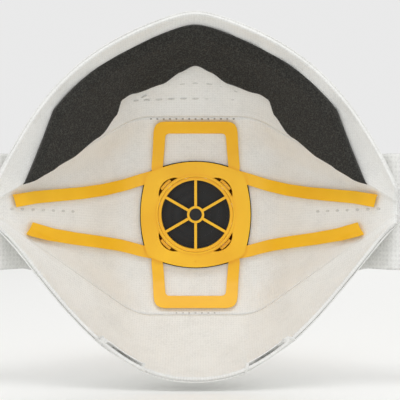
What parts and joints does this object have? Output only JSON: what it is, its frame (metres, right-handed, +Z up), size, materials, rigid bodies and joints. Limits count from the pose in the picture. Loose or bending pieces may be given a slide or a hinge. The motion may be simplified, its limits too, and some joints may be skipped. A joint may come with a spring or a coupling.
{
  "type": "disposable dust mask",
  "caption": "Fold-flat dust mask with layered fabric panels, a spring frame inside, a foam nose seal, an exhalation valve and ear loops.",
  "frame": {"origin": "middle of the face opening, on the line between its two side corners", "axes": "+Z up, nose side up; +Y the way the wearer faces, out through the valve; +X to the left of a wearer"},
  "size_m": [0.3626, 0.0758, 0.162],
  "materials": {
    "outer_nonwoven": "matte spunbond nonwoven",
    "filter_web": "melt-blown web",
    "lining_nonwoven": "matte smooth nonwoven",
    "stretch_nonwoven": "matte stretch nonwoven",
    "grey_foam": "open-cell foam",
    "nose_wire": "plain",
    "yellow_plastic": "satin",
    "black_foam": "closed-cell foam",
    "black_rubber": "smooth, half gloss"
  },
  "bodies": {
    "shell": {"centre_cover": "outer_nonwoven", "centre_filter": "filter_web", "centre_lining": "lining_nonwoven", "spring_frame": "yellow_plastic", "valve_gasket": "black_foam", "valve_seat": "yellow_plastic", "valve_cover": "yellow_plastic", "left_loop_tab": "stretch_nonwoven", "right_loop_tab": "stretch_nonwoven"},
    "nose_panel": {"nose_cover": "outer_nonwoven", "nose_filter": "filter_web", "nose_lining": "lining_nonwoven", "nose_foam": "grey_foam", "nose_wire": "nose_wire"},
    "chin_panel": {"chin_cover": "outer_nonwoven", "chin_filter": "filter_web", "chin_lining": "lining_nonwoven"},
    "flap": {"valve_flap": "black_rubber"},
    "left_loop": {"left_ear_loop": "stretch_nonwoven"},
    "right_loop": {"right_ear_loop": "stretch_nonwoven"}
  },
  "joints": [
    {"name": "nose_panel_flex", "type": "hinge", "parent": "shell", "child": "nose_panel", "pos_m": [0, 0, 0], "axis": [1, 0, 0], "range_deg": [0, 6], "stiffness_Nm_per_rad": 0.1, "springref_deg": -5.73},
    {"name": "chin_panel_flex", "type": "hinge", "parent": "shell", "child": "chin_panel", "pos_m": [0, 0, 0], "axis": [1, 0, 0], "range_deg": [-8, 0], "stiffness_Nm_per_rad": 0.1, "springref_deg": 5.73},
    {"name": "flap_lift", "type": "slide", "parent": "shell", "child": "flap", "axis": [0, 1, 0], "range_m": [0, 0.0015], "stiffness_N_per_m": 20, "springref_m": -0.0005},
    {"name": "left_loop_turn", "type": "hinge", "parent": "shell", "child": "left_loop", "pos_m": [-0.08675, 0.00962, -0.002], "axis": [0, 0, -1], "range_deg": [-85, 100], "stiffness_Nm_per_rad": 0.002},
    {"name": "right_loop_turn", "type": "hinge", "parent": "shell", "child": "right_loop", "pos_m": [0.08675, 0.00962, -0.002], "axis": [0, 0, 1], "range_deg": [-85, 100], "stiffness_Nm_per_rad": 0.002}
  ]
}
